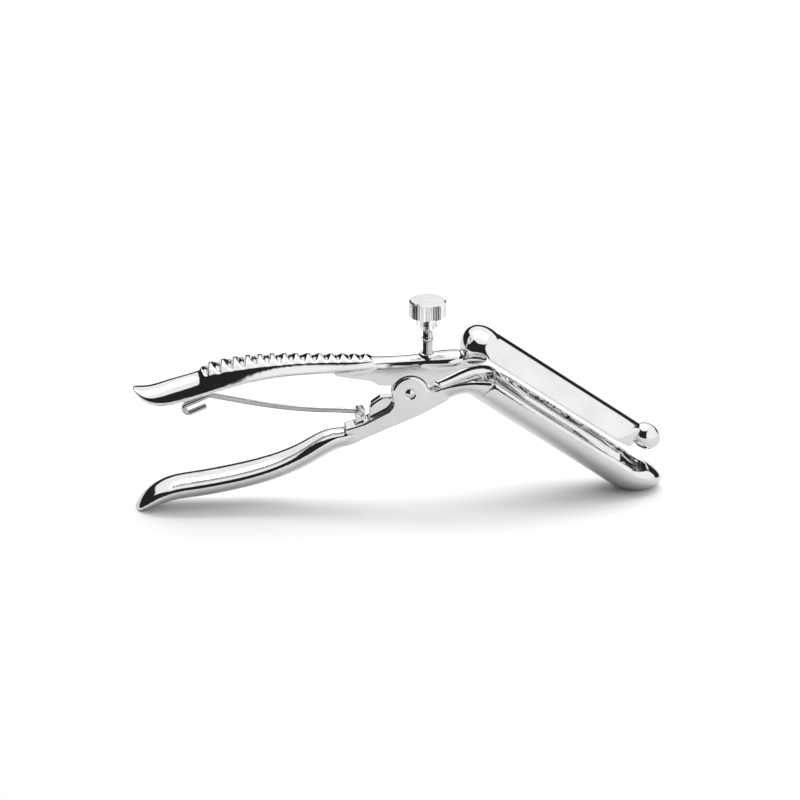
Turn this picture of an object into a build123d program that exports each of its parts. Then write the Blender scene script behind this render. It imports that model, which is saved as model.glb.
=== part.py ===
"""Two-bladed spring speculum of plier form: two levers on one pin, squeezed to spread the blades.

The part is drawn with X along the instrument from its pivot towards the blades, Y across it and Z up. It is then moved so that the origin lies under the middle of its box, on the surface it rests on.
"""
from build123d import *
import math
import os

# Fork joint: the lower lever's two cheeks hold the upper lever's ear between them
PIVOT_Z = 1.1
PLATE_THICKNESS = 8.0
EAR_THICKNESS = 4.2
CHEEK_CLEARANCE = 0.06
CHEEK_RADIUS = 7.2
STEP_CLEARANCE = 0.4
SLOT_FLOOR_Z = -0.4
EAR_RADIUS = 5.0
PIN_RADIUS = 1.8
PIN_CLEARANCE = 0.05
PIN_DOME = 0.5

# Handles: half width at the side edge, and the bulge of the outer and the inner side from that edge
GRIP_HALF_WIDTH = 8.0
GRIP_OUTER = 5.4
GRIP_INNER = 3.7
UPPER_GRIP_OUTER = 6.5
UPPER_GRIP_INNER = 2.6
NECK_HALF_WIDTH = PLATE_THICKNESS / 2
NECK_OUTER = 2.5
NECK_INNER = 3.0
RIDGE_COUNT = 14
RIDGE_PITCH = 4.6
RIDGE_START_X = -79.4
RIDGE_HEIGHT_AT_PAD = 8.7
RIDGE_RAMP = 3.0
RIDGE_ROOT = 2.0
GROOVE_DEPTH_AT_PAD = 3.4
GROOVE_DEPTH_AT_NECK = 1.5
GROOVE_WIDTH = 3.9
GROOVE_FLOOR_RADIUS = 0.6

# Blades, which share one slope; a lip line or rim line starts each of them at the joint's end
BLADE_SLOPE = -35.3
LOWER_BLADE_X = 32.8
LOWER_BLADE_Z = 5.9
LOWER_BLADE_RUN = 68.0
LOWER_BLADE_HALF_WIDTH = 12.0
LOWER_BLADE_DEPTH = 11.0
CROOK_HALF_WIDTH = 10.0
LIP_RISE = 2.4
TROUGH_HALF_WIDTH = 10.2
TROUGH_FLOOR = 2.0
UPPER_BLADE_X = 30.7
UPPER_BLADE_Z = 16.8
UPPER_BLADE_RUN = 63.1
UPPER_BLADE_HALF_WIDTH = 11.5
UPPER_BLADE_HEIGHT = 8.3
SHELL_WALL = 1.5
HOLLOW_BELOW = 2.0
END_TAPER = 9.0
OLIVE_LENGTH = 12.4
OLIVE_RADIUS = 5.2
OLIVE_RISE = 5.5
OLIVE_SEAT = 2.0

# Feed screw that holds the blades apart, and its knob
SCREW_X = 7.3
SCREW_RADIUS = 2.0
SCREW_CLEARANCE = 0.05
SEAT_Z = 5.7
SEAT_HALF_WIDTH = 1.6
SEAT_ROOM = 1.0
CHEEK_TOP_Z = 2.2
SEAT_GAP = 0.1
SCREW_LENGTH = 26.2
SCREW_TIP_RADIUS = 1.0
SCREW_TIP_LENGTH = 2.0
SCREW_END_CHAMFER = 0.3
COLLAR_RADIUS = 2.5
COLLAR_HEIGHT = 0.9
COLLAR_Z = 22.7
SCREW_BOSS_RADIUS = 3.4
SCREW_BOSS_Z = 13.9
SCREW_BOSS_RISE = 3.1
KNOB_RADIUS = 7.5
KNOB_RIM_HEIGHT = 7.0
KNOB_RIM_ROUND = 0.7
KNOB_SOCKET_DEPTH = 5.0
KNOB_SOCKET_CLEARANCE = 0.03
KNOB_FLANGE_RADIUS = 3.1
KNOB_FLANGE_HEIGHT = 0.7
KNOB_HUB_RADIUS = 4.8
KNOB_TAPER_HEIGHT = 1.7
KNOB_HUB_HEIGHT = 3.0
KNURL_COUNT = 48
KNURL_DEPTH = 0.35

# Spring wire, which turns on a small pin and bears under the upper handle
WIRE_RADIUS = 1.1
SPRING_X = -19.8
SPRING_Z = -7.0
SPRING_PIN_RADIUS = 0.9
SPRING_PIN_CLEARANCE = 0.05
KNUCKLE_RADIUS = 2.0
KNUCKLE_WIDTH = 3.0
KNUCKLE_ROOM = 1.0
LUG_RADIUS = 1.9
LUG_THICKNESS = 1.1
LUG_GAP = 0.15
LUG_FOOT = 5.0
KNUCKLE_BITE = 0.6
WIRE_MIDDLE_X = -50.0
WIRE_MIDDLE_Z = -4.6
WIRE_SAG_RADIUS = 200.0
CURL_RADIUS = 1.85
CURL_GAP = 0.05
CURL_LENGTH = 11.5
CURL_END_LENGTH = 8.6
CURL_SLOPE = 22.0
BEND_RADIUS = 4.0
BEND_X = -80.0
BEND_Z = 2.4

# Level of the surface that the handle's tip and the lower blade stand on, both with a small flat
REST_Z = -44.7

MARGIN = 1.0
BIG = 40.0


def section_plane(x, z, slope):
    """A plane across a bar whose length points along the slope, seen with Y to its right."""
    turn = math.radians(slope)
    return Plane(origin=(x, 0, z), x_dir=(0, 1, 0), z_dir=(math.cos(turn), 0, math.sin(turn)))


def station(x, z, slope, half_width, up, down):
    """A closed section across a bar: two half ellipses that meet at its side edges."""
    above = EllipticalCenterArc((0, 0), half_width, up, start_angle=0, arc_size=180)
    below = EllipticalCenterArc((0, 0), half_width, down, start_angle=180, arc_size=180)
    return section_plane(x, z, slope) * make_face([above, below])


def arch(x, z, slope, half_width, height):
    """A section across a shell: one half ellipse closed by a straight line."""
    above = EllipticalCenterArc((0, 0), half_width, height, start_angle=0, arc_size=180)
    base = Line((-half_width, 0), (half_width, 0))
    return section_plane(x, z, slope) * make_face([above, base])


def bar(stations):
    return loft([station(*values) for values in stations])


def slab(outline, half_thickness):
    """A plate in the plane of the levers, of the same thickness on both sides of the middle."""
    face = Plane.XZ * make_face(outline)
    return extrude(face, amount=half_thickness, both=True)


def ring_slab(x, z, radius, half_thickness):
    return Pos(x, 0, z) * Rot(90, 0, 0) * Cylinder(radius, 2 * half_thickness)


def cheeks_only(solid, half_gap):
    """What is left of a plate when the middle slot of the fork is taken out."""
    return solid - Box(4 * BIG, 2 * half_gap, 4 * BIG)


def stood(solid):
    """The solid with everything below the standing surface taken off."""
    return solid - Pos(0, 0, REST_Z - BIG / 2) * Box(8 * BIG, BIG, BIG)


def along_blade(x, z, run, rise):
    """A point that lies a run down the blade and a rise square to it."""
    turn = math.radians(BLADE_SLOPE)
    return (x + run * math.cos(turn) - rise * math.sin(turn), z + run * math.sin(turn) + rise * math.cos(turn))


# Lower handle, from its tip to the joint: x, z, slope, half width, inner bulge, outer bulge
LOWER_HANDLE = [
    (-109.9, -45.1, 50, 3.6, 0.6, 0.7),
    (-108.1, -43.4, 44, 6.0, 1.5, 1.9),
    (-104.5, -40.5, 30, 7.5, 2.6, 3.7),
    (-98.5, -37.3, 17, GRIP_HALF_WIDTH, 3.4, 4.8),
    (-86.0, -34.9, 9, GRIP_HALF_WIDTH, GRIP_INNER, GRIP_OUTER),
    (-70.0, -32.4, 9, GRIP_HALF_WIDTH, GRIP_INNER, GRIP_OUTER),
    (-55.0, -28.8, 16, 7.4, GRIP_INNER, GRIP_OUTER),
    (-42.0, -23.4, 25, 6.2, 3.7, 5.4),
    (-30.0, -17.6, 26, 5.0, 3.4, 5.2),
    (-18.0, -12.0, 24, NECK_HALF_WIDTH, 2.6, 4.8),
]

# Upper handle, from its tip to the heel of the blade: x, z, slope, half width, outer and inner bulge
UPPER_HANDLE = [
    (-110.2, 6.6, -32, 1.8, 0.5, 0.5),
    (-108.3, 5.5, -26, 4.8, 1.3, 1.4),
    (-104.6, 3.4, -12, 7.0, 3.5, 2.4),
    (-98.8, 2.6, 5, GRIP_HALF_WIDTH, 5.5, 2.8),
    (-90.0, 4.0, 14, GRIP_HALF_WIDTH, UPPER_GRIP_OUTER, UPPER_GRIP_INNER),
    (-81.0, 6.6, 17, GRIP_HALF_WIDTH, UPPER_GRIP_OUTER, UPPER_GRIP_INNER),
    (-70.6, 9.5, 13, GRIP_HALF_WIDTH, 5.9, UPPER_GRIP_INNER),
    (-61.0, 11.4, 8, 7.6, 5.3, 2.5),
    (-47.7, 12.6, 2, 6.4, 4.5, 2.5),
    (-32.4, 12.8, -1, 5.3, 3.6, 2.6),
    (-17.0, 13.3, 0, 4.3, 2.5, NECK_INNER),
    (4.0, 13.7, 3, NECK_HALF_WIDTH, NECK_OUTER, NECK_INNER),
    (21.0, 14.7, 3, NECK_HALF_WIDTH, NECK_OUTER, NECK_INNER),
]

# Crest line of the finger ridges on the upper handle: x, z, slope, half width, outer bulge
RIDGE_CREST = [
    (RIDGE_START_X, 7.1, 16.5, GRIP_HALF_WIDTH, RIDGE_HEIGHT_AT_PAD),
    (-70.6, 9.5, 13, GRIP_HALF_WIDTH, 8.2),
    (-61.0, 11.4, 8, 7.6, 7.2),
    (-47.7, 12.6, 2, 6.4, 6.0),
    (-32.4, 12.8, -1, 5.3, 5.1),
    (-15.0, 13.3, 0, 4.3, 3.6),
]

# Arm from the joint to the crook: x, z, slope, half width, upper and lower bulge
LOWER_ARM = [
    (9.0, 1.6, 12, NECK_HALF_WIDTH, 0.6, 7.2),
    (15.5, 3.5, 13, 5.0, 0.8, 6.0),
    (21.6, 5.2, 4, 7.2, 1.7, 5.9),
    (27.0, 6.3, -18, 9.0, 2.2, 8.0),
    (LOWER_BLADE_X, LOWER_BLADE_Z, BLADE_SLOPE, CROOK_HALF_WIDTH, LIP_RISE, LOWER_BLADE_DEPTH),
]

# Root of the upper lever, which widens under the heel of the blade: as above
UPPER_ROOT = [
    UPPER_HANDLE[-1],
    (25.0, 15.7, 0, 5.8, 3.4, 3.4),
    (30.0, 15.8, -30, 8.6, 2.6, 2.2),
]

# Body of the lower blade, down its length: run, half width
LOWER_SPREAD = [
    (0.0, CROOK_HALF_WIDTH),
    (8.0, 10.9),
    (18.0, 11.7),
    (30.0, LOWER_BLADE_HALF_WIDTH),
]

# Trough of the lower blade from its start, down its length: run, rise, half width, up, depth
TROUGH_START = [
    (3.6, 1.9, 2.0, 3.0, 0.8),
    (10.0, 0.9, 6.4, 4.0, 5.0),
    (21.0, 0.0, TROUGH_HALF_WIDTH, 5.0, LOWER_BLADE_DEPTH - TROUGH_FLOOR),
]

# Rounded tip of the lower blade, which turns up a little: x, z, slope, half width, lip, depth
LOWER_TIP = [
    (92.9, -36.5, -24, 11.2, 2.2, 9.3),
    (97.6, -38.0, -6, 9.2, 1.7, 7.2),
    (101.0, -39.2, 8, 5.6, 1.0, 4.0),
    (102.6, -40.0, 14, 1.8, 0.4, 1.2),
]

# End of the trough above that tip: as above
TROUGH_END = [
    (91.6, -35.6, -24, 8.4, 5.0, 7.0),
    (96.2, -37.0, -6, 3.6, 3.0, 3.0),
]

# Heel of the upper blade, which curves down onto the lever: x, z, slope, half width, height
UPPER_HEEL = [
    (22.8, 15.4, 72, 5.6, 1.6),
    (23.8, 18.2, 50, 8.6, 4.2),
    (26.6, 19.4, 12, 10.3, 7.4),
    (29.2, 18.4, -18, 11.2, 8.2),
    (UPPER_BLADE_X, UPPER_BLADE_Z, BLADE_SLOPE, UPPER_BLADE_HALF_WIDTH, UPPER_BLADE_HEIGHT),
]


def crest_at(x):
    """Height of the crest line above the side edge, and the edge's own place and slope, at x."""
    for left, right in zip(RIDGE_CREST, RIDGE_CREST[1:]):
        if x <= right[0] or right is RIDGE_CREST[-1]:
            share = (x - left[0]) / (right[0] - left[0])
            return [a + share * (b - a) for a, b in zip(left, right)]


def fork_slot():
    """The opening between the cheeks: room for the ear, and for the seat under the feed screw."""
    half_gap = EAR_THICKNESS / 2 + CHEEK_CLEARANCE
    floor = ring_slab(0, PIVOT_Z, EAR_RADIUS + STEP_CLEARANCE, half_gap)
    right = SCREW_X + SCREW_RADIUS + MARGIN
    left = -EAR_RADIUS - STEP_CLEARANCE - 2 * CHEEK_RADIUS
    above_cheeks = Pos(right / 2, 0, CHEEK_TOP_Z + BIG / 2) * Box(right, 2 * half_gap, BIG)
    above_floor = Pos(left / 2, 0, SLOT_FLOOR_Z + BIG / 2) * Box(-left, 2 * half_gap, BIG)
    return floor + above_cheeks + above_floor


def lower_lever():
    half = PLATE_THICKNESS / 2
    edge = Polyline(
        (-26, -13.2), (-18.5, -11.0), (-8.7, -6.0), (-7.2, -4.0), (-6, 0), (0, 3), (6, CHEEK_TOP_Z),
        (10.5, CHEEK_TOP_Z), (15.5, 3.9), (15.5, -2.3), (4.0, -8.4), (-26, -20.6), close=True)
    plate = slab(edge, half) + ring_slab(0, PIVOT_Z, CHEEK_RADIUS, half)
    tongue = slab(Polyline(
        (-16.2, -11.0), (-16.2, -4.8), (-15.2, -3.2), (-11.5, -0.7), (-6.0, -0.7), (-6.0, -8.0), close=True),
        EAR_THICKNESS / 2)
    seat = slab(Polyline((5.6, 1.0), (5.6, SEAT_Z), (8.9, SEAT_Z), (12.5, 3.0), (12.5, 1.0), close=True), SEAT_HALF_WIDTH)
    lug_outer = KNUCKLE_WIDTH / 2 + LUG_GAP + LUG_THICKNESS
    lug_inner = KNUCKLE_WIDTH / 2 + LUG_GAP
    lug = ring_slab(SPRING_X, SPRING_Z, LUG_RADIUS, lug_outer)
    foot = Pos(SPRING_X, 0, SPRING_Z - LUG_FOOT / 2) * Box(2 * LUG_RADIUS, 2 * lug_outer, LUG_FOOT)
    knuckle_room = ring_slab(SPRING_X, SPRING_Z, KNUCKLE_RADIUS + KNUCKLE_ROOM, lug_inner)
    above = Pos(SPRING_X, 0, SPRING_Z + BIG / 2) * Box(BIG / 2, 2 * lug_inner, BIG)
    lever = bar(LOWER_HANDLE) + plate + bar(LOWER_ARM) + (lug + foot) + tongue
    lever -= knuckle_room
    lever -= above & ring_slab(SPRING_X, SPRING_Z, KNUCKLE_RADIUS + KNUCKLE_ROOM, lug_inner)
    lever = lever - fork_slot() + seat
    lever -= ring_slab(0, PIVOT_Z, PIN_RADIUS, BIG)
    lever -= ring_slab(SPRING_X, SPRING_Z, SPRING_PIN_RADIUS, BIG)
    return stood(lever)


def lower_blade():
    """A deep spoon with a narrow lip; the trough starts past the crook and ends short of the tip."""
    def place(run, rise, half_width, up, down):
        x, z = along_blade(LOWER_BLADE_X, LOWER_BLADE_Z, run, rise)
        return (x, z, BLADE_SLOPE, half_width, up, down)

    spread = [place(run, 0, half_width, LIP_RISE, LOWER_BLADE_DEPTH) for run, half_width in LOWER_SPREAD]
    full = place(LOWER_BLADE_RUN, 0, LOWER_BLADE_HALF_WIDTH, LIP_RISE, LOWER_BLADE_DEPTH)
    trough = [place(*values) for values in TROUGH_START]
    trough_full = place(LOWER_BLADE_RUN - MARGIN, *TROUGH_START[-1][1:])
    blade = stood(bar(spread) + bar([spread[-1], full]) + bar([full] + LOWER_TIP))
    return blade - bar(trough) - bar([trough[-1], trough_full]) - bar([trough_full] + TROUGH_END)


def upper_lever():
    half = PLATE_THICKNESS / 2
    ear_half = EAR_THICKNESS / 2
    step = CHEEK_RADIUS + STEP_CLEARANCE
    web_edge = Polyline(
        (-30, 12.3), (-30, 9.8), (-15.5, 7.0), (-12.6, 5.2), (-6.0, 4.6), (4.4, 3.7), (SCREW_X, 5.0), (9.5, 5.4),
        (21.0, 10.8), (27.0, 11.6), (30.0, 13.0), (30.0, 15.0), (21.0, 14.5), close=True)
    web = slab(web_edge, half)
    web -= cheeks_only(ring_slab(0, PIVOT_Z, step, BIG), ear_half)
    neck_right = EAR_RADIUS - STEP_CLEARANCE
    neck_top = PIVOT_Z + step
    neck = Polyline(
        (-EAR_RADIUS, PIVOT_Z), (-EAR_RADIUS, neck_top), (neck_right, neck_top), (neck_right, PIVOT_Z), close=True)
    ear = ring_slab(0, PIVOT_Z, EAR_RADIUS, ear_half) + slab(neck, ear_half)
    ridges = bar([values + (RIDGE_ROOT,) for values in RIDGE_CREST])
    crest_x, crest_z, crest_slope, crest_width, _ = RIDGE_CREST[0]
    ramp_z = crest_z - RIDGE_RAMP * math.tan(math.radians(crest_slope))
    ramp_start = (crest_x - RIDGE_RAMP, ramp_z, crest_slope, crest_width, UPPER_GRIP_OUTER, RIDGE_ROOT)
    ridges += bar([ramp_start, RIDGE_CREST[0] + (RIDGE_ROOT,)])
    for index in range(RIDGE_COUNT + 1):
        ridges -= groove(index)
    boss = Pos(SCREW_X, 0, SCREW_BOSS_Z) * Cylinder(
        SCREW_BOSS_RADIUS, SCREW_BOSS_RISE, align=(Align.CENTER, Align.CENTER, Align.MIN))
    lever = bar(UPPER_HANDLE) + bar(UPPER_ROOT) + web + ear + ridges + boss
    lever -= seat_pocket()
    lever -= ring_slab(0, PIVOT_Z, PIN_RADIUS + PIN_CLEARANCE, BIG)
    lever -= Pos(SCREW_X, 0, 0) * Cylinder(SCREW_RADIUS + SCREW_CLEARANCE, 4 * BIG)
    return lever


def seat_pocket():
    """The hollow under the web that clears the feed screw's seat."""
    left = EAR_RADIUS - STEP_CLEARANCE
    right = 2 * SCREW_X - left + SEAT_ROOM
    top = SEAT_Z + SEAT_ROOM
    return Pos((left + right) / 2, 0, top / 2) * Box(right - left, 2 * (SEAT_HALF_WIDTH + STEP_CLEARANCE), top)


def groove(index):
    """A cutter for the gap before one finger ridge, shallower towards the joint."""
    x, z, slope, half_width, height = crest_at(RIDGE_START_X + index * RIDGE_PITCH)
    share = index / RIDGE_COUNT
    depth = GROOVE_DEPTH_AT_PAD + share * (GROOVE_DEPTH_AT_NECK - GROOVE_DEPTH_AT_PAD)
    width = GROOVE_WIDTH / 2
    flare = width * (depth + MARGIN) / depth
    wedge = make_face(Polyline((0, -depth), (-flare, MARGIN), (flare, MARGIN), close=True))
    wedge = fillet(wedge.vertices().sort_by(Axis.Y)[0], GROOVE_FLOOR_RADIUS)
    cutter = extrude(Plane.XZ * wedge, amount=2 * half_width, both=True)
    return Pos(x, 0, z) * Rot(0, -slope, 0) * Pos(0, 0, height) * cutter


def upper_blade():
    """A long shell, open below, closed by its rounded heel and by the wall behind the olive."""
    def place(run, half_width, height):
        x, z = along_blade(UPPER_BLADE_X, UPPER_BLADE_Z, run, 0)
        return (x, z, BLADE_SLOPE, half_width, height)

    full = place(UPPER_BLADE_RUN, UPPER_BLADE_HALF_WIDTH, UPPER_BLADE_HEIGHT)
    near_end = place(UPPER_BLADE_RUN + 0.6 * END_TAPER, 9.4, UPPER_BLADE_HEIGHT)
    last = place(UPPER_BLADE_RUN + END_TAPER, 5.2, UPPER_BLADE_HEIGHT)
    heel = loft([arch(*values) for values in UPPER_HEEL])
    body = loft([arch(*UPPER_HEEL[-1]), arch(*full)])
    end = loft([arch(*full), arch(*near_end), arch(*last)])
    width = UPPER_BLADE_HALF_WIDTH - SHELL_WALL
    height = UPPER_BLADE_HEIGHT - SHELL_WALL
    hollow_full = place(UPPER_BLADE_RUN - MARGIN, width, height) + (HOLLOW_BELOW,)
    hollow = bar([place(SHELL_WALL, width, height) + (HOLLOW_BELOW,), hollow_full])
    hollow_end = bar([hollow_full, place(UPPER_BLADE_RUN + END_TAPER / 2, width / 2, 0.7 * height) + (HOLLOW_BELOW,)])
    return heel + body + end - hollow - hollow_end


def blade_tip():
    """The olive on the end of the upper blade, turned about an axis along the blade."""
    run = UPPER_BLADE_RUN + END_TAPER + OLIVE_LENGTH / 2 - OLIVE_SEAT
    x, z = along_blade(UPPER_BLADE_X, UPPER_BLADE_Z, run, OLIVE_RISE)
    body = EllipticalCenterArc((0, 0), OLIVE_LENGTH / 2, OLIVE_RADIUS, start_angle=0, arc_size=180)
    half = make_face([body, Line((-OLIVE_LENGTH / 2, 0), (OLIVE_LENGTH / 2, 0))])
    olive = revolve(half, Axis.X)
    return Pos(x, 0, z) * Rot(0, -BLADE_SLOPE, 0) * olive


def pivot_pin():
    half = PLATE_THICKNESS / 2
    pin = ring_slab(0, PIVOT_Z, PIN_RADIUS, half)
    dome_radius = (PIN_RADIUS**2 + PIN_DOME**2) / (2 * PIN_DOME)
    for side in (-1, 1):
        ball = Pos(0, side * (half + PIN_DOME - dome_radius), PIVOT_Z) * Sphere(dome_radius)
        pin += ball & ring_slab(0, PIVOT_Z, PIN_RADIUS, half + PIN_DOME) & (
            Pos(0, side * (half + PIN_DOME / 2), PIVOT_Z) * Box(BIG, PIN_DOME, BIG))
    return pin


def feed_screw():
    foot = SEAT_Z + SEAT_GAP
    base = (Align.CENTER, Align.CENTER, Align.MIN)
    tip = Pos(SCREW_X, 0, foot) * Cylinder(SCREW_TIP_RADIUS, SCREW_TIP_LENGTH, align=base)
    tip = chamfer(tip.edges().sort_by(Axis.Z)[0], SCREW_END_CHAMFER)
    shank = Pos(SCREW_X, 0, foot + SCREW_TIP_LENGTH) * Cylinder(
        SCREW_RADIUS, SCREW_LENGTH - SCREW_TIP_LENGTH, align=base)
    return tip + shank + Pos(SCREW_X, 0, COLLAR_Z) * Cylinder(COLLAR_RADIUS, COLLAR_HEIGHT, align=base)


def knob():
    """A knurled rim on a hub that narrows down to the screw, with a socket for the screw's end."""
    bottom = SEAT_Z + SEAT_GAP + SCREW_LENGTH - KNOB_SOCKET_DEPTH
    hub_z = KNOB_FLANGE_HEIGHT + KNOB_TAPER_HEIGHT
    rim_z = hub_z + KNOB_HUB_HEIGHT
    top = rim_z + KNOB_RIM_HEIGHT
    outline = Polyline(
        (0, 0), (SCREW_RADIUS + KNOB_RIM_ROUND, 0), (KNOB_FLANGE_RADIUS, KNOB_FLANGE_HEIGHT), (KNOB_HUB_RADIUS, hub_z),
        (KNOB_HUB_RADIUS, rim_z), (KNOB_RADIUS - KNOB_RIM_ROUND, rim_z), (KNOB_RADIUS, rim_z + KNOB_RIM_ROUND),
        (KNOB_RADIUS, top - KNOB_RIM_ROUND), (KNOB_RADIUS - KNOB_RIM_ROUND, top), (0, top), close=True)
    body = revolve(Plane.XZ * make_face(outline), Axis.Z)
    teeth = []
    for index in range(2 * KNURL_COUNT):
        angle = math.pi * index / KNURL_COUNT
        radius = KNOB_RADIUS - (index % 2) * KNURL_DEPTH
        teeth.append((radius * math.cos(angle), radius * math.sin(angle)))
    knurl = extrude(make_face(Polyline(*teeth, close=True)), amount=top)
    body = body & knurl
    body -= Cylinder(SCREW_RADIUS + KNOB_SOCKET_CLEARANCE, 2 * KNOB_SOCKET_DEPTH)
    return Pos(SCREW_X, 0, bottom) * body


def spring_wire():
    """Round wire from its knuckle on the pin to the curl that bears under the upper handle."""
    turn = math.radians(CURL_SLOPE)
    back = (-math.cos(turn), -math.sin(turn))
    square = (math.sin(turn), -math.cos(turn))
    far_x = BEND_X + CURL_LENGTH * back[0]
    far_z = BEND_Z + CURL_LENGTH * back[1]
    width = 2 * CURL_RADIUS + CURL_GAP
    low_x = far_x + width * square[0]
    low_z = far_z + width * square[1]
    end_x = low_x - CURL_END_LENGTH * back[0]
    end_z = low_z - CURL_END_LENGTH * back[1]
    aim = math.atan2(WIRE_MIDDLE_Z - SPRING_Z, WIRE_MIDDLE_X - SPRING_X)
    start_x = SPRING_X + (KNUCKLE_RADIUS - KNUCKLE_BITE) * math.cos(aim)
    start_z = SPRING_Z + (KNUCKLE_RADIUS - KNUCKLE_BITE) * math.sin(aim)
    route = FilletPolyline(
        (start_x, start_z), (WIRE_MIDDLE_X, WIRE_MIDDLE_Z), (BEND_X, BEND_Z), (far_x, far_z), (low_x, low_z),
        (end_x, end_z), radius=[WIRE_SAG_RADIUS, BEND_RADIUS, CURL_RADIUS, CURL_RADIUS])
    path = Plane.XZ * route
    start = Plane(origin=path @ 0, z_dir=path % 0)
    wire = sweep(start * Circle(WIRE_RADIUS), path=path)
    knuckle = ring_slab(SPRING_X, SPRING_Z, KNUCKLE_RADIUS, KNUCKLE_WIDTH / 2)
    return wire + knuckle - ring_slab(SPRING_X, SPRING_Z, SPRING_PIN_RADIUS + SPRING_PIN_CLEARANCE, BIG)


def spring_pin():
    return ring_slab(SPRING_X, SPRING_Z, SPRING_PIN_RADIUS, KNUCKLE_WIDTH / 2 + LUG_GAP + LUG_THICKNESS)


def build():
    nodes = {
        "lower_lever": lower_lever(),
        "upper_lever": upper_lever(),
        "upper_blade": upper_blade(),
        "pivot_pin": pivot_pin(),
        "feed_screw": feed_screw(),
        "knob": knob(),
        "spring_wire": spring_wire(),
        "spring_pin": spring_pin(),
    }
    nodes["lower_blade"] = lower_blade() - nodes["lower_lever"]
    nodes["upper_lever"] = nodes["upper_lever"] - nodes["upper_blade"]
    nodes["blade_tip"] = blade_tip() - nodes["upper_blade"]
    boxes = [node.bounding_box() for node in nodes.values()]
    middle_x = (min(box.min.X for box in boxes) + max(box.max.X for box in boxes)) / 2
    middle_y = (min(box.min.Y for box in boxes) + max(box.max.Y for box in boxes)) / 2
    shift = Pos(-middle_x, -middle_y, -REST_Z)
    return {name: shift * node for name, node in nodes.items()}, shift


if __name__ == "__main__":
    os.makedirs("parts", exist_ok=True)
    NODES, SHIFT = build()
    for name, node in NODES.items():
        export_step(node, f"parts/{name}.step")
    print("pivot at", SHIFT.position)
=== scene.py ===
"""Looks of the speculum: mirror-polished plate on forged levers and blades, on a white studio table."""
import math

import bmesh
import bpy
from mathutils import Matrix, Vector


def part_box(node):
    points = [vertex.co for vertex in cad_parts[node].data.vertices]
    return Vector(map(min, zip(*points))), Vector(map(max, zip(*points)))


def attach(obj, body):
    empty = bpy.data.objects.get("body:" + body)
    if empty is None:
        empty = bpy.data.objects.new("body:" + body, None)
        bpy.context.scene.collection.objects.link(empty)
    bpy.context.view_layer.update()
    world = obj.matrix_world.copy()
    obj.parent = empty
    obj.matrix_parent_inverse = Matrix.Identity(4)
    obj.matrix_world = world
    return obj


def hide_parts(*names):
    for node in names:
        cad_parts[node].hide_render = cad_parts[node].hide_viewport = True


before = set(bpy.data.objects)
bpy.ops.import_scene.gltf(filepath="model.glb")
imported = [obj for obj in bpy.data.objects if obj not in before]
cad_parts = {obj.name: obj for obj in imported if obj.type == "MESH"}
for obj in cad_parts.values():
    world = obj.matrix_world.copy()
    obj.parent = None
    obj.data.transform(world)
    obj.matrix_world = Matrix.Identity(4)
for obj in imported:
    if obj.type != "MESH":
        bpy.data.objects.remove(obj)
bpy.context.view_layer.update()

# Camera: the photograph looks down on the instrument from in front, a little from the left
VIEW_AZIMUTH = -6.0
VIEW_ELEVATION = 22.0
IMAGE_WIDTH = 0.320
CAMERA_DISTANCE = 1.6
AIM = (0.00005, 0.0, 0.0417)

# Which body each piece rides on
BODY_OF = {
    "lower_lever": "lower", "lower_blade": "lower", "pivot_pin": "lower", "spring_pin": "lower",
    "upper_lever": "upper", "upper_blade": "upper", "blade_tip": "upper",
    "feed_screw": "screw", "knob": "knob", "spring_wire": "spring",
}

# Sine of the elevation at which the room turns from dark to white
FRONT_HORIZON = 0.82
BACK_HORIZON = 0.30
LEFT_HORIZON = 0.35

FLOOR_WIDTH = 1.9
FLOOR_FRONT = -0.145
FLOOR_BACK = 0.80
# The floor's brightness to the camera and in the metal's reflections
FLOOR_SEEN = 1.0
FLOOR_MIRRORED = 0.70
LAMP_ENERGY = 12
LAMP_LENGTH = 1.4
LAMP_WIDTH = 0.9
LAMP_PLACE = (0.1, 0.45, 1.3)

# The room: how dark its dark part is, how soft its edges are, and where the soft box at the right begins
ROOM_DARK = 0.02
HORIZON_SOFTNESS = 0.03
FRONT_TO_BACK = 0.3
LEFT_EDGE = (0.35, 0.70)
BOX_TOWARDS = (0.85, -0.5)
BOX_EDGE = (0.52, 0.60)

# Polished plate: sizes of its patches, marks, waves and scratches, and how strong they are
PATCH_SCALE = 90.0
MARK_SCALE = 60.0
WAVE_SCALE = 45.0
SCRATCH_SCALE = 140.0
SCRATCH_STRETCH = (0.6, 9.0, 7.0)
SCRATCH_EDGE = (0.66, 0.70)
SCRATCH_ROUGHNESS = 0.10
WORN_EDGE = (0.35, 0.75)
WORN_TINT = 0.90
WAVE_HEIGHT = 0.002
GRAIN_HEIGHT = 0.0002

# The even mesh over the polished forms, and the room it needs round the pivot pin
GRID = 0.00038
BORE_WALL = 0.0002
BORE_EASE = 0.00025
EAR_REACH = 0.003

SHARP_ANGLE = math.radians(28)
MERGE_DISTANCE = 2e-6
# Lengths below this count as none
TINY = 1e-6
THREAD_PITCH = 0.0007
THREAD_DEPTH = 0.00032
THREAD_STEPS = 40
SCREW_TIP_LENGTH = 0.0020
SCREW_TIP_RADIUS = 0.0010
COLLAR_STEP = 0.0005
COLLAR_LENGTH = 0.0009
COLLAR_CHAMFER = 0.0001
SOCKET_DEPTH = 0.002


def node_tree(name):
    """A new material and its emptied node tree."""
    material = bpy.data.materials.new(name)
    material.use_nodes = True
    material.node_tree.nodes.clear()
    return material, material.node_tree


def add(tree, kind, **settings):
    node = tree.nodes.new(kind)
    for key, value in settings.items():
        setattr(node, key, value)
    return node


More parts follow.
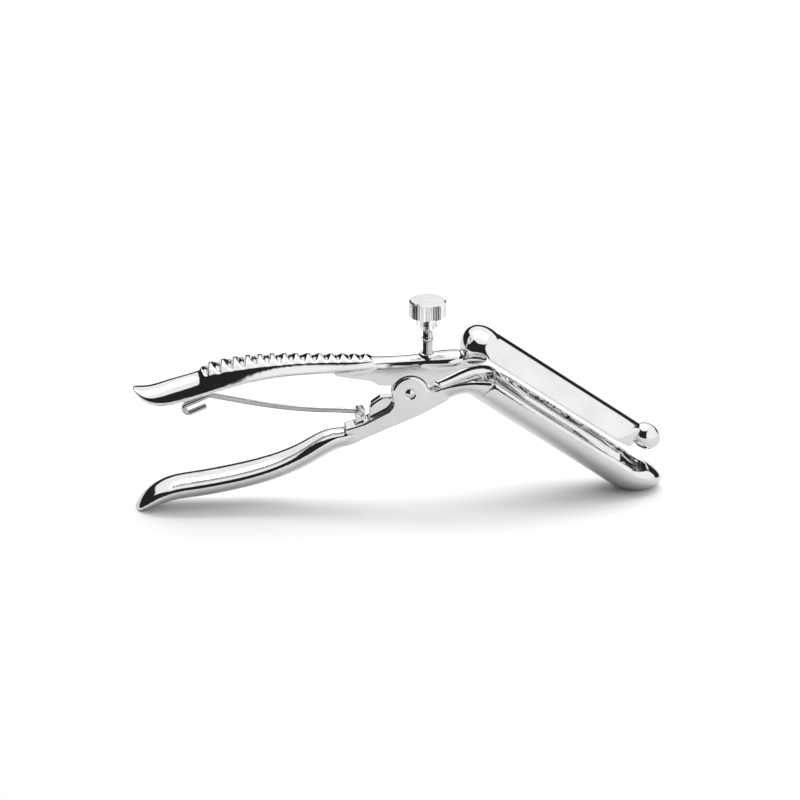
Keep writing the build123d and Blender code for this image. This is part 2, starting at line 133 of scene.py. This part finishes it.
def noise_at(tree, coordinates, scale, stretch, detail):
    """Noise read at object coordinates, drawn out by a stretch along each axis."""
    mapping = add(tree, "ShaderNodeMapping")
    mapping.inputs["Scale"].default_value = stretch
    noise = add(tree, "ShaderNodeTexNoise")
    noise.inputs["Scale"].default_value = scale
    noise.inputs["Detail"].default_value = detail
    tree.links.new(coordinates.outputs["Object"], mapping.inputs[0])
    tree.links.new(mapping.outputs[0], noise.inputs["Vector"])
    return noise.outputs["Fac"]


def spread(tree, value, low, high, start=0.0, end=1.0):
    """A value brought from one span to another."""
    span = add(tree, "ShaderNodeMapRange")
    span.inputs["From Min"].default_value = start
    span.inputs["From Max"].default_value = end
    span.inputs["To Min"].default_value = low
    span.inputs["To Max"].default_value = high
    tree.links.new(value, span.inputs["Value"])
    return span.outputs[0]


def times(tree, one, other, operation="MULTIPLY"):
    """Two values combined, by a product unless another operation is named."""
    node = add(tree, "ShaderNodeMath", operation=operation)
    tree.links.new(one, node.inputs[0])
    if isinstance(other, float):
        node.inputs[1].default_value = other
    else:
        tree.links.new(other, node.inputs[1])
    return node.outputs[0]


def polished_plate(name, colour, roughness, marks=(6, 60, 60), mark_depth=0.02, wave_depth=0.03):
    """Bright plate: faint polishing marks drawn out one way, hairline scratches, dull patches and wear."""
    material, tree = node_tree(name)
    out = add(tree, "ShaderNodeOutputMaterial")
    shader = add(tree, "ShaderNodeBsdfPrincipled")
    coordinates = add(tree, "ShaderNodeTexCoord")
    shader.inputs["Metallic"].default_value = 1.0
    patches = noise_at(tree, coordinates, PATCH_SCALE, (1, 1, 1), 3.0)
    lines = noise_at(tree, coordinates, MARK_SCALE, marks, 4.0)
    waves = noise_at(tree, coordinates, WAVE_SCALE, (1, 1.5, 1.5), 1.0)
    hairline = noise_at(tree, coordinates, SCRATCH_SCALE, SCRATCH_STRETCH, 2.0)
    scratch = spread(tree, hairline, 0.0, 1.0, *SCRATCH_EDGE)
    haze = times(tree, spread(tree, patches, 0.0, roughness), spread(tree, lines, 0.0, roughness), "ADD")
    rough = times(tree, haze, times(tree, scratch, SCRATCH_ROUGHNESS), "ADD")
    tree.links.new(rough, shader.inputs["Roughness"])
    tint = add(tree, "ShaderNodeMix", data_type="RGBA")
    tint.inputs["A"].default_value = (*colour, 1)
    tint.inputs["B"].default_value = (*[channel * WORN_TINT for channel in colour], 1)
    tree.links.new(spread(tree, patches, 0.0, 1.0, *WORN_EDGE), tint.inputs["Factor"])
    tree.links.new(tint.outputs["Result"], shader.inputs["Base Color"])
    swell = add(tree, "ShaderNodeBump")
    swell.inputs["Strength"].default_value = wave_depth
    swell.inputs["Distance"].default_value = WAVE_HEIGHT
    tree.links.new(waves, swell.inputs["Height"])
    grain = add(tree, "ShaderNodeBump")
    grain.inputs["Strength"].default_value = mark_depth
    grain.inputs["Distance"].default_value = GRAIN_HEIGHT
    tree.links.new(times(tree, lines, scratch, "ADD"), grain.inputs["Height"])
    tree.links.new(swell.outputs[0], grain.inputs["Normal"])
    tree.links.new(grain.outputs[0], shader.inputs["Normal"])
    tree.links.new(shader.outputs[0], out.inputs[0])
    return material


def finish_piece(work, name, node_name, material):
    """Turns edited mesh data into a shaded piece that stands for its CAD node."""
    bmesh.ops.recalc_face_normals(work, faces=work.faces)
    for face in work.faces:
        face.smooth = True
    for edge in work.edges:
        edge.smooth = len(edge.link_faces) == 2 and edge.calc_face_angle(0.0) < SHARP_ANGLE
    mesh = bpy.data.meshes.new(name)
    work.to_mesh(mesh)
    work.free()
    piece = bpy.data.objects.new(name, mesh)
    bpy.context.collection.objects.link(piece)
    mesh.materials.append(material)
    weighted = piece.modifiers.new("even shading", "WEIGHTED_NORMAL")
    weighted.keep_sharp = True
    weighted.weight = 60
    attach(piece, BODY_OF[node_name])
    return piece


def even_grid(piece, rounds):
    """An even mesh over a polished form, so that long narrow faces don't ripple its reflections."""
    grid = piece.modifiers.new("even grid", "REMESH")
    grid.mode = "VOXEL"
    grid.voxel_size = GRID
    grid.use_smooth_shade = True
    rounding = piece.modifiers.new("polish", "SMOOTH")
    rounding.factor = 0.5
    rounding.iterations = rounds


def ease_bore(work):
    """Opens the ear's hidden bore, because the even mesh can't hold its narrow clearance round the pin."""
    low, high = [Vector(corner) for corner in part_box("pivot_pin")]
    centre = (low + high) / 2
    reach = (high.x - low.x) / 2 + BORE_WALL
    for vert in work.verts:
        out = Vector((vert.co.x - centre.x, 0, vert.co.z - centre.z))
        if out.length < reach and abs(vert.co.y) < EAR_REACH:
            vert.co += out.normalized() * BORE_EASE


def smooth_piece(node_name, material, rounds=0):
    """The CAD node's own form with its corners joined, so that it shades as one polished surface."""
    work = bmesh.new()
    work.from_mesh(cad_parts[node_name].data)
    bmesh.ops.remove_doubles(work, verts=work.verts, dist=MERGE_DISTANCE)
    if node_name == "upper_lever":
        ease_bore(work)
    piece = finish_piece(work, node_name + "_shaded", node_name, material)
    if rounds:
        piece.modifiers.clear()
        even_grid(piece, rounds)
    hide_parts(node_name)


def threaded_shank(material):
    """The feed screw with a real helical thread from its foot to the socket, and its plain collar."""
    low, high = [Vector(corner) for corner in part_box("feed_screw")]
    knob_low = Vector(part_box("knob")[0])
    centre = (low + high) / 2
    collar_radius = (high.x - low.x) / 2
    radius = collar_radius - COLLAR_STEP
    start = low.z + SCREW_TIP_LENGTH
    length = knob_low.z + SOCKET_DEPTH - start
    turns = int(length / THREAD_PITCH) + 2
    work = bmesh.new()
    ring = []
    for index in range(2 * turns + 1):
        reach = radius if index % 2 else radius - THREAD_DEPTH
        height = start - THREAD_PITCH + index * THREAD_PITCH / 2
        ring.append(work.verts.new((centre.x + reach, centre.y, height)))
    edges = [work.edges.new(pair) for pair in zip(ring, ring[1:])]
    bmesh.ops.spin(
        work, geom=ring + edges, cent=(centre.x, centre.y, 0), axis=(0, 0, 1), angle=2 * math.pi,
        dvec=(0, 0, THREAD_PITCH / THREAD_STEPS), steps=THREAD_STEPS, use_merge=False)
    bmesh.ops.remove_doubles(work, verts=work.verts, dist=TINY)
    for height, outward in ((start, -1), (start + length, 1)):
        everything = list(work.verts) + list(work.edges) + list(work.faces)
        bmesh.ops.bisect_plane(
            work, geom=everything, plane_co=(0, 0, height), plane_no=(0, 0, outward), clear_outer=True)
    bmesh.ops.holes_fill(work, edges=[edge for edge in work.edges if edge.is_boundary])
    collar_z = centre.z
    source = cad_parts["feed_screw"].data
    wide = [
        v.co.z for v in source.vertices
        if math.hypot(v.co.x - centre.x, v.co.y - centre.y) > collar_radius - COLLAR_CHAMFER]
    if wide:
        collar_z = (min(wide) + max(wide)) / 2
    collar = bmesh.ops.create_cone(
        work, cap_ends=True, segments=64, radius1=collar_radius, radius2=collar_radius,
        depth=COLLAR_LENGTH, matrix=Matrix.Translation((centre.x, centre.y, collar_z)))
    tip_length = SCREW_TIP_LENGTH + THREAD_PITCH
    bmesh.ops.create_cone(
        work, cap_ends=True, segments=32, radius1=SCREW_TIP_RADIUS - THREAD_DEPTH, radius2=SCREW_TIP_RADIUS,
        depth=tip_length, matrix=Matrix.Translation((centre.x, centre.y, low.z + tip_length / 2)))
    rims = [edge for edge in work.edges if edge.verts[0] in collar["verts"] and edge.verts[1] in collar["verts"]
            and abs(edge.verts[0].co.z - edge.verts[1].co.z) < TINY]
    bmesh.ops.bevel(work, geom=rims, offset=COLLAR_CHAMFER, affect="EDGES", segments=2, profile=0.5, material=-1)
    piece = finish_piece(work, "feed_screw_threaded", "feed_screw", material)
    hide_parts("feed_screw")


def place_camera():
    """The photograph's viewing angle and frame."""
    data = bpy.data.cameras.new("camera")
    camera = bpy.data.objects.new("camera", data)
    bpy.context.collection.objects.link(camera)
    turn = math.radians(VIEW_AZIMUTH)
    rise = math.radians(VIEW_ELEVATION)
    away = Vector((math.sin(turn) * math.cos(rise), -math.cos(turn) * math.cos(rise), math.sin(rise)))
    aim = Vector(AIM)
    camera.location = aim + away * CAMERA_DISTANCE
    camera.rotation_euler = (aim - camera.location).to_track_quat("-Z", "Y").to_euler()
    data.lens_unit = "FOV"
    data.angle = 2 * math.atan(IMAGE_WIDTH / 2 / CAMERA_DISTANCE)
    data.clip_start = 0.01
    bpy.context.scene.camera = camera


def soft_step(tree, value, start, end):
    """0 below start, 1 above end, with a soft change between them."""
    step = add(tree, "ShaderNodeMapRange", interpolation_type="SMOOTHSTEP")
    step.inputs["From Min"].default_value = start
    step.inputs["From Max"].default_value = end
    tree.links.new(value, step.inputs["Value"])
    return step.outputs[0]


def studio():
    """White overhead light and a soft box at the right; the room is dark low down in front and at the left."""
    world = bpy.data.worlds.new("studio")
    bpy.context.scene.world = world
    world.use_nodes = True
    tree = world.node_tree
    tree.nodes.clear()
    out = add(tree, "ShaderNodeOutputWorld")
    room = add(tree, "ShaderNodeBackground")
    coordinates = add(tree, "ShaderNodeTexCoord")
    split = add(tree, "ShaderNodeSeparateXYZ")
    tree.links.new(coordinates.outputs["Generated"], split.inputs[0])
    horizon = spread(tree, split.outputs["Y"], FRONT_HORIZON, BACK_HORIZON, -FRONT_TO_BACK, FRONT_TO_BACK)
    left = times(tree, soft_step(tree, times(tree, split.outputs["X"], -1.0), *LEFT_EDGE), LEFT_HORIZON)
    edge = times(tree, horizon, left, "ADD")
    overhead = soft_step(
        tree, times(tree, split.outputs["Z"], edge, "SUBTRACT"), -HORIZON_SOFTNESS, HORIZON_SOFTNESS)
    side = times(
        tree, times(tree, split.outputs["X"], BOX_TOWARDS[0]), times(tree, split.outputs["Y"], BOX_TOWARDS[1]), "ADD")
    right = soft_step(tree, side, *BOX_EDGE)
    light = times(tree, overhead, right, "MAXIMUM")
    tree.links.new(spread(tree, light, ROOM_DARK, 1.0), room.inputs["Color"])
    path = add(tree, "ShaderNodeLightPath")
    white = add(tree, "ShaderNodeBackground")
    white.inputs["Color"].default_value = (1, 1, 1, 1)
    white.inputs["Strength"].default_value = 1.0
    mix = add(tree, "ShaderNodeMixShader")
    tree.links.new(path.outputs["Is Camera Ray"], mix.inputs[0])
    tree.links.new(room.outputs[0], mix.inputs[1])
    tree.links.new(white.outputs[0], mix.inputs[2])
    tree.links.new(mix.outputs[0], out.inputs[0])

    bpy.ops.mesh.primitive_plane_add(size=1, location=(0, (FLOOR_FRONT + FLOOR_BACK) / 2, 0))
    floor = bpy.context.object
    floor.name = "floor"
    for corner in floor.data.vertices:
        corner.co.x *= FLOOR_WIDTH
        corner.co.y *= FLOOR_BACK - FLOOR_FRONT
    material, floor_tree = node_tree("floor")
    floor_out = add(floor_tree, "ShaderNodeOutputMaterial")
    matte = add(floor_tree, "ShaderNodeBsdfDiffuse")
    seen = add(floor_tree, "ShaderNodeLightPath")
    tone = spread(floor_tree, seen.outputs["Is Glossy Ray"], FLOOR_SEEN, FLOOR_MIRRORED)
    floor_tree.links.new(tone, matte.inputs["Color"])
    floor_tree.links.new(matte.outputs[0], floor_out.inputs[0])
    floor.data.materials.append(material)

    lamp_data = bpy.data.lights.new("overhead", "AREA")
    lamp_data.shape = "RECTANGLE"
    lamp_data.size = LAMP_LENGTH
    lamp_data.size_y = LAMP_WIDTH
    lamp_data.energy = LAMP_ENERGY
    lamp = bpy.data.objects.new("overhead", lamp_data)
    bpy.context.collection.objects.link(lamp)
    lamp.location = LAMP_PLACE
    lamp.rotation_euler = (Vector((0, 0, 0)) - lamp.location).to_track_quat("-Z", "Y").to_euler()


smooth_piece("lower_lever", polished_plate("lower_lever_plate", (0.86, 0.86, 0.865), 0.05), rounds=5)
smooth_piece("lower_blade", polished_plate("lower_blade_plate", (0.88, 0.88, 0.885), 0.045), rounds=24)
smooth_piece("upper_lever", polished_plate("upper_lever_plate", (0.86, 0.86, 0.865), 0.05), rounds=4)
smooth_piece("upper_blade", polished_plate("upper_blade_plate", (0.89, 0.89, 0.895), 0.045), rounds=8)
smooth_piece("blade_tip", polished_plate("blade_tip_plate", (0.89, 0.89, 0.895), 0.04))
smooth_piece("pivot_pin", polished_plate("pivot_pin_plate", (0.80, 0.80, 0.805), 0.08, (1, 1, 1)))
smooth_piece("knob", polished_plate("knob_plate", (0.92, 0.92, 0.925), 0.16, (1, 1, 12), 0.03))
smooth_piece("spring_wire", polished_plate("spring_wire_steel", (0.58, 0.58, 0.59), 0.22, (4, 30, 30), 0.05))
smooth_piece("spring_pin", polished_plate("spring_pin_steel", (0.72, 0.72, 0.73), 0.12, (1, 1, 1)))
threaded_shank(polished_plate("feed_screw_steel", (0.74, 0.74, 0.75), 0.10, (1, 1, 20), 0.04))
place_camera()
studio()
bpy.context.scene.view_settings.view_transform = "Standard"
